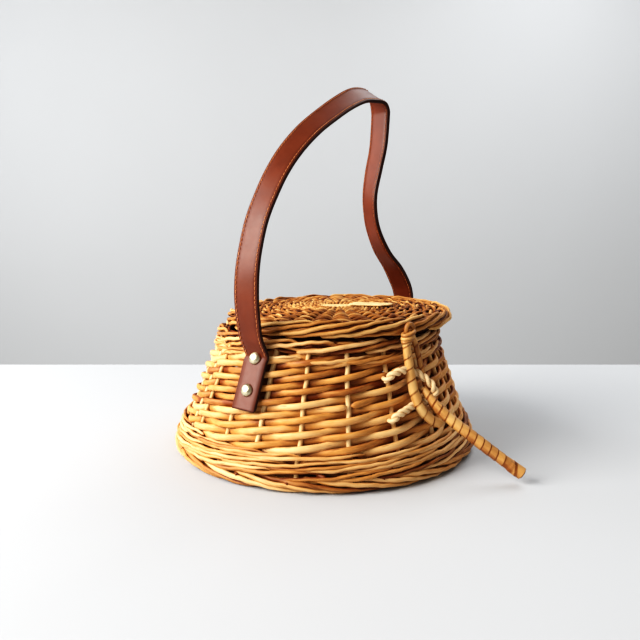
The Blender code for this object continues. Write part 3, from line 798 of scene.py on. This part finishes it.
# distance along the chord, height, and how far the band is turned to show its face
ARCH = [(-112.6, 112, 4), (-115.2, 126, 8), (-116.6, 139, 9), (-116.8, 151, 9), (-115.4, 167, 7),
        (-111.6, 184, 5), (-104.4, 205, 5), (-93.2, 225, 7), (-80.2, 243.6, 10), (-63.4, 261.6, 15),
        (-40.8, 279.7, 20), (-15.7, 295.0, 24), (7.1, 307.3, 28), (28.5, 316.3, 34), (45, 318.9, 36),
        (54, 318.3, 30), (61, 314.6, 18), (64.8, 308, 10), (65.2, 299.6, 10), (62.2, 273.5, 12),
        (54.7, 250, 15), (49.3, 228.2, 23), (50.5, 210.6, 25), (56.6, 194, 21), (71.4, 173.8, 11),
        (90.6, 157, 0), (103.9, 142, -6), (111, 131, -4), (114, 118, 0)]


def round_the_body(theta):
    """The level direction along the wall, towards larger angles."""
    a = math.radians(theta)
    return np.array([math.cos(a), math.sin(a), 0])


def on_wall(theta, z, lift=0.0):
    return body_point(np.array(theta), wall(z) + lift, float(z))


def strap_line():
    """The strap's middle line and, at each point, the way its width runs and the way its outer face looks."""
    turn = math.radians(STRAP_TURN)
    along = np.array([math.cos(turn), math.sin(turn), 0])
    fore = np.array([math.sin(turn), -math.cos(turn), 0])
    near_tab = [np.append(on_wall(TAB_NEAR, z, TAB_LIFT), 0.0) for z in (56, 66, 76, 86, 93, 98)]
    far_tab = [np.append(on_wall(TAB_FAR, z, TAB_LIFT), 0.0) for z in (96, 88, 78, 68, 61)]
    arch = [np.append([*STRAP_MID, 0] + along * chord + UP * height, tilt) for chord, height, tilt in ARCH]
    points = spline(near_tab + arch + far_tab, 1.5)
    path, tilt = points[:, :3], np.radians(points[:, 3:])
    run = lengths(path)
    to_arch = ease((path[:, 2] - 92) / 30)[:, None]
    on_tab = np.where((run < run[-1] / 2)[:, None], round_the_body(TAB_NEAR), -round_the_body(TAB_FAR))
    tangent = unit(np.gradient(path, axis=0))
    side = across(unit(on_tab * (1 - to_arch) + fore * to_arch), tangent)
    face = np.cross(side, tangent)
    return path, side * np.cos(tilt) - face * np.sin(tilt), face * np.cos(tilt) + side * np.sin(tilt)


STRAP_PATH, STRAP_SIDE, STRAP_FACE = strap_line()
STRAP_RUN = lengths(STRAP_PATH)


def layer(mesher, offset, width, inset):
    """One layer of leather, offset along the strap's outer face, with slightly rounded edges and cut ends."""
    keep = (STRAP_RUN >= inset) & (STRAP_RUN <= STRAP_RUN[-1] - inset)
    path, side, face = STRAP_PATH[keep], STRAP_SIDE[keep], STRAP_FACE[keep]
    h, w, edge = STRAP_LAYER / 2, width / 2, 0.35
    outline = [(-w, -h + edge), (-w + edge, -h), (-w * 0.5, -h), (0, -h), (w * 0.5, -h), (w - edge, -h),
               (w, -h + edge), (w, h - edge), (w - edge, h), (w * 0.5, h + 0.05), (0, h + 0.08),
               (-w * 0.5, h + 0.05), (-w + edge, h), (-w, h - edge)]
    rings = np.stack([path + side * x + face * (y + offset) for x, y in outline], 1)
    dark = [1.0 if abs(x) > w - 0.2 else (0.35 if abs(x) > w - 0.5 else 0.0) for x, y in outline]
    tones = np.broadcast_to(dark, rings.shape[:2]).copy()
    tones[0], tones[-1] = 0.9, 0.9
    mesher.rings(rings, tones, rings * MM)


def strap():
    leather_band = Mesher()
    layer(leather_band, 0.88, STRAP_W, inset=0)
    layer(leather_band, -0.88, STRAP_W - 0.4, inset=0.4)
    return leather_band.build("strap_leather", LEATHER)


def stitches():
    """A row near each edge, on both faces. The riveted ends have none."""
    thread = Mesher()
    sewn = STRAP_RUN[STRAP_PATH[:, 2] > 97.0]
    sink = np.array([-0.25, 0.08, 0.2, 0.2, 0.08, -0.25])[:, None]
    for edge in (-1, 1):
        for out in (1, -1):
            start = sewn[0]
            while start < sewn[-1] - 3:
                at = np.linspace(start, start + STITCH, 6)
                p, f, side = (np.stack([np.interp(at, STRAP_RUN, column) for column in line.T], -1)
                              for line in (STRAP_PATH, STRAP_FACE, STRAP_SIDE))
                path = p + side * edge * (STRAP_W / 2 - STITCH_INSET) + f * out * (1.74 + sink)
                thread.rod(path, 0.33, f, sides=6, tone=RNG.uniform(0.3, 0.9))
                start += STITCH_PITCH
    return thread.build("strap_stitches", THREAD)


def turned(mesher, origin, axis, profile, sides=48):
    """A profile of radii and heights turned about an axis."""
    x = unit(np.cross(axis, [0.3, 0.2, 0.9]))
    y = np.cross(axis, x)
    angle = TAU * np.arange(sides) / sides
    spoke = np.cos(angle)[:, None] * x + np.sin(angle)[:, None] * y
    rings = np.stack([origin + axis * h + spoke * r for r, h in profile])
    mesher.rings(rings, 0.5, rings * MM)


def rivet_places():
    """Where each rivet's head sits, and the way it looks."""
    for theta, heights in ((TAB_NEAR, (94.2, 70.0)), (TAB_FAR, (85.5, 66.0))):
        out = np.cross(round_the_body(theta), unit(on_wall(theta, 80) - on_wall(theta, 60)))
        for z in heights:
            yield on_wall(theta, z) + out * 4.5, out


def rivets():
    domes = Mesher()
    collar = [(5.2, -0.2), (5.35, 0.25), (5.15, 0.8)]
    arc = np.linspace(0.12, math.pi / 2, 10)
    dome = collar + [(max(5.05 * math.cos(t), 0.02), 0.8 + 2.6 * math.sin(t)) for t in arc]
    for spot, out in rivet_places():
        turned(domes, spot, out, dome)
    return domes.build("rivet_domes", RIVET)


def washers():
    """Each rivet is clenched over a washer inside the wall."""
    discs = Mesher()
    disc = [(4.5, -1.0), (4.5, 0.0), (2.0, 0.1), (1.9, 0.8), (1.2, 1.2), (0.02, 1.3)]
    for spot, out in rivet_places():
        turned(discs, spot - out * 17.1, -out, disc)
    return discs.build("rivet_washers", RIVET)


# ---- each piece, the body it rides on, its material slot and the CAD nodes it stands for ----------

ENDS = [f"{end}_{place}" for end in ("near", "far") for place in ("upper", "lower")]
LAYERS = [f"{part}_{end}_{face}"
          for part in ("strap", "tab") for end in ("near", "far") for face in ("outer", "inner")]

for build, body, slot, nodes in (
    (body_weave, "root", "willow", ["randing_outer", "randing_inner"]),
    (stakes, "root", "willow_stake", [f"stake_{i:02d}" for i in range(1, STAKES + 1)]),
    (bottom_wale, "root", "willow", ["bottom_wale"]),
    (foot_border, "root", "willow", ["foot_border"]),
    (top_border, "root", "willow", ["top_wale", "top_border"]),
    (base_weave, "root", "willow", ["base_weave"]),
    (base_sticks, "root", "willow_stake", ["base_slath_lower", "base_slath_upper"]),
    (lid_weave, "lid", "willow_lid", ["lid_weave"]),
    (lid_sticks, "lid", "willow_lid", []),
    (lid_cross, "lid", "cane_wrap", ["lid_slath_lower", "lid_slath_upper"]),
    (lid_border, "lid", "willow_lid", ["lid_border"]),
    (hinge_rod, "lid", "willow_stake", ["hinge_rod"]),
    (hinge_loops, "root", "willow_stake", ["hinge_loop_left", "hinge_loop_right"]),
    (hasp, "hasp", "cane_wrap", ["hasp_loop"]),
    (hasp_ring, "lid", "cane_wrap", ["hasp_ring"]),
    (peg, "peg", "cane_wrap", ["peg_wrap"]),
    (peg_core, "peg", "willow_stake", ["peg_core"]),
    (noose, "root", "noose_willow", ["noose"]),
    (rivets, "root", "rivet_metal", [f"rivet_{end}" for end in ENDS]),
    (washers, "root", "rivet_metal", [f"washer_{end}" for end in ENDS]),
):
    piece = build()
    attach(piece, body)
    if nodes:
        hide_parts(*nodes)

strap_obj = strap()
for piece in (strap_obj, stitches()):
    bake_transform(piece)
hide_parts(*LAYERS)

# ---- floor, light and camera, in metres -----------------------------------------------------------

CAMERA_PITCH = 9.083                        # degrees below level
LOOK = np.array([math.sin(math.radians(CAMERA_TURN)), math.cos(math.radians(CAMERA_TURN)), 0])
RIGHT = np.array([LOOK[1], -LOOK[0], 0])


def place(behind, aside, height):
    """A place behind the basket and to its right, as the camera sees it."""
    return LOOK * behind + RIGHT * aside + UP * height


def slab(name, rows, half_width, material):
    """A band across the view, given by its distance behind the basket and its height at each row."""
    verts = [tuple(place(d, w, h)) for d, h in rows for w in (-half_width, half_width)]
    faces = [(2 * i, 2 * i + 1, 2 * i + 3, 2 * i + 2) for i in range(len(rows) - 1)]
    mesh = bpy.data.meshes.new(name)
    mesh.from_pydata(verts, [], faces)
    mesh.materials.append(material)
    obj = bpy.data.objects.new(name, mesh)
    bpy.context.scene.collection.objects.link(obj)


def softbox(name, spot, target, size, power, colour):
    light = bpy.data.lights.new(name, "AREA")
    light.shape = "RECTANGLE"
    light.size, light.size_y = size, size
    light.energy = power
    light.color = colour
    obj = bpy.data.objects.new(name, light)
    obj.location = spot
    obj.rotation_euler = (Vector(target) - Vector(spot)).to_track_quat("-Z", "Y").to_euler()
    bpy.context.scene.collection.objects.link(obj)


def room_light(colour, strength):
    world = bpy.data.worlds.new("room")
    world.use_nodes = True
    background = world.node_tree.nodes["Background"]
    background.inputs["Color"].default_value = (*colour, 1)
    background.inputs["Strength"].default_value = strength
    bpy.context.scene.world = world


def deepen_shadows(points):
    """A curve on the picture's tones, as a bright product shot has."""
    view = bpy.context.scene.view_settings
    view.view_transform = "Standard"
    view.use_curve_mapping = True
    for x, y in points:
        view.curve_mapping.curves[3].points.new(x, y)
    view.curve_mapping.update()


def camera(spot, pitch, lens):
    data = bpy.data.cameras.new("camera")
    data.lens = lens
    data.sensor_width = 36.0
    data.clip_end = 20.0
    obj = bpy.data.objects.new("camera", data)
    obj.location = spot
    aim = LOOK * math.cos(pitch) - UP * math.sin(pitch)
    obj.rotation_euler = Vector(aim).to_track_quat("-Z", "Y").to_euler()
    bpy.context.scene.collection.objects.link(obj)
    bpy.context.scene.camera = obj


slab("table", [(-3.0, 0.0), (0.30, 0.0), (0.304, -0.004), (0.304, -0.5)], 4.0,
     paint("table_paint", (0.495, 0.515, 0.54), 0.6))
slab("wall_behind", [(1.6, -1.5), (1.6, 4.0)], 5.0, paint("wall_paint", (0.51, 0.53, 0.553), 0.9))
softbox("key", place(-0.55, -1.25, 0.85), (0, 0, 0.1), 1.1, 54.0, (1.0, 0.965, 0.92))
softbox("window", place(0.55, -1.35, 0.78), place(1.25, 0.3, 0), 1.0, 11.0, (0.96, 0.98, 1.0))
softbox("back", place(0.75, 0.8, 1.2), place(0.72, 0.78, 0), 1.1, 13.5, (0.98, 0.99, 1.0))
room_light((1.0, 0.94, 0.86), 0.34)
deepen_shadows(((0.04, 0.018), (0.15, 0.115), (0.4, 0.41), (0.7, 0.745)))
camera(place(-0.6011, -0.0037, 0.2082), math.radians(CAMERA_PITCH), lens=36.585)
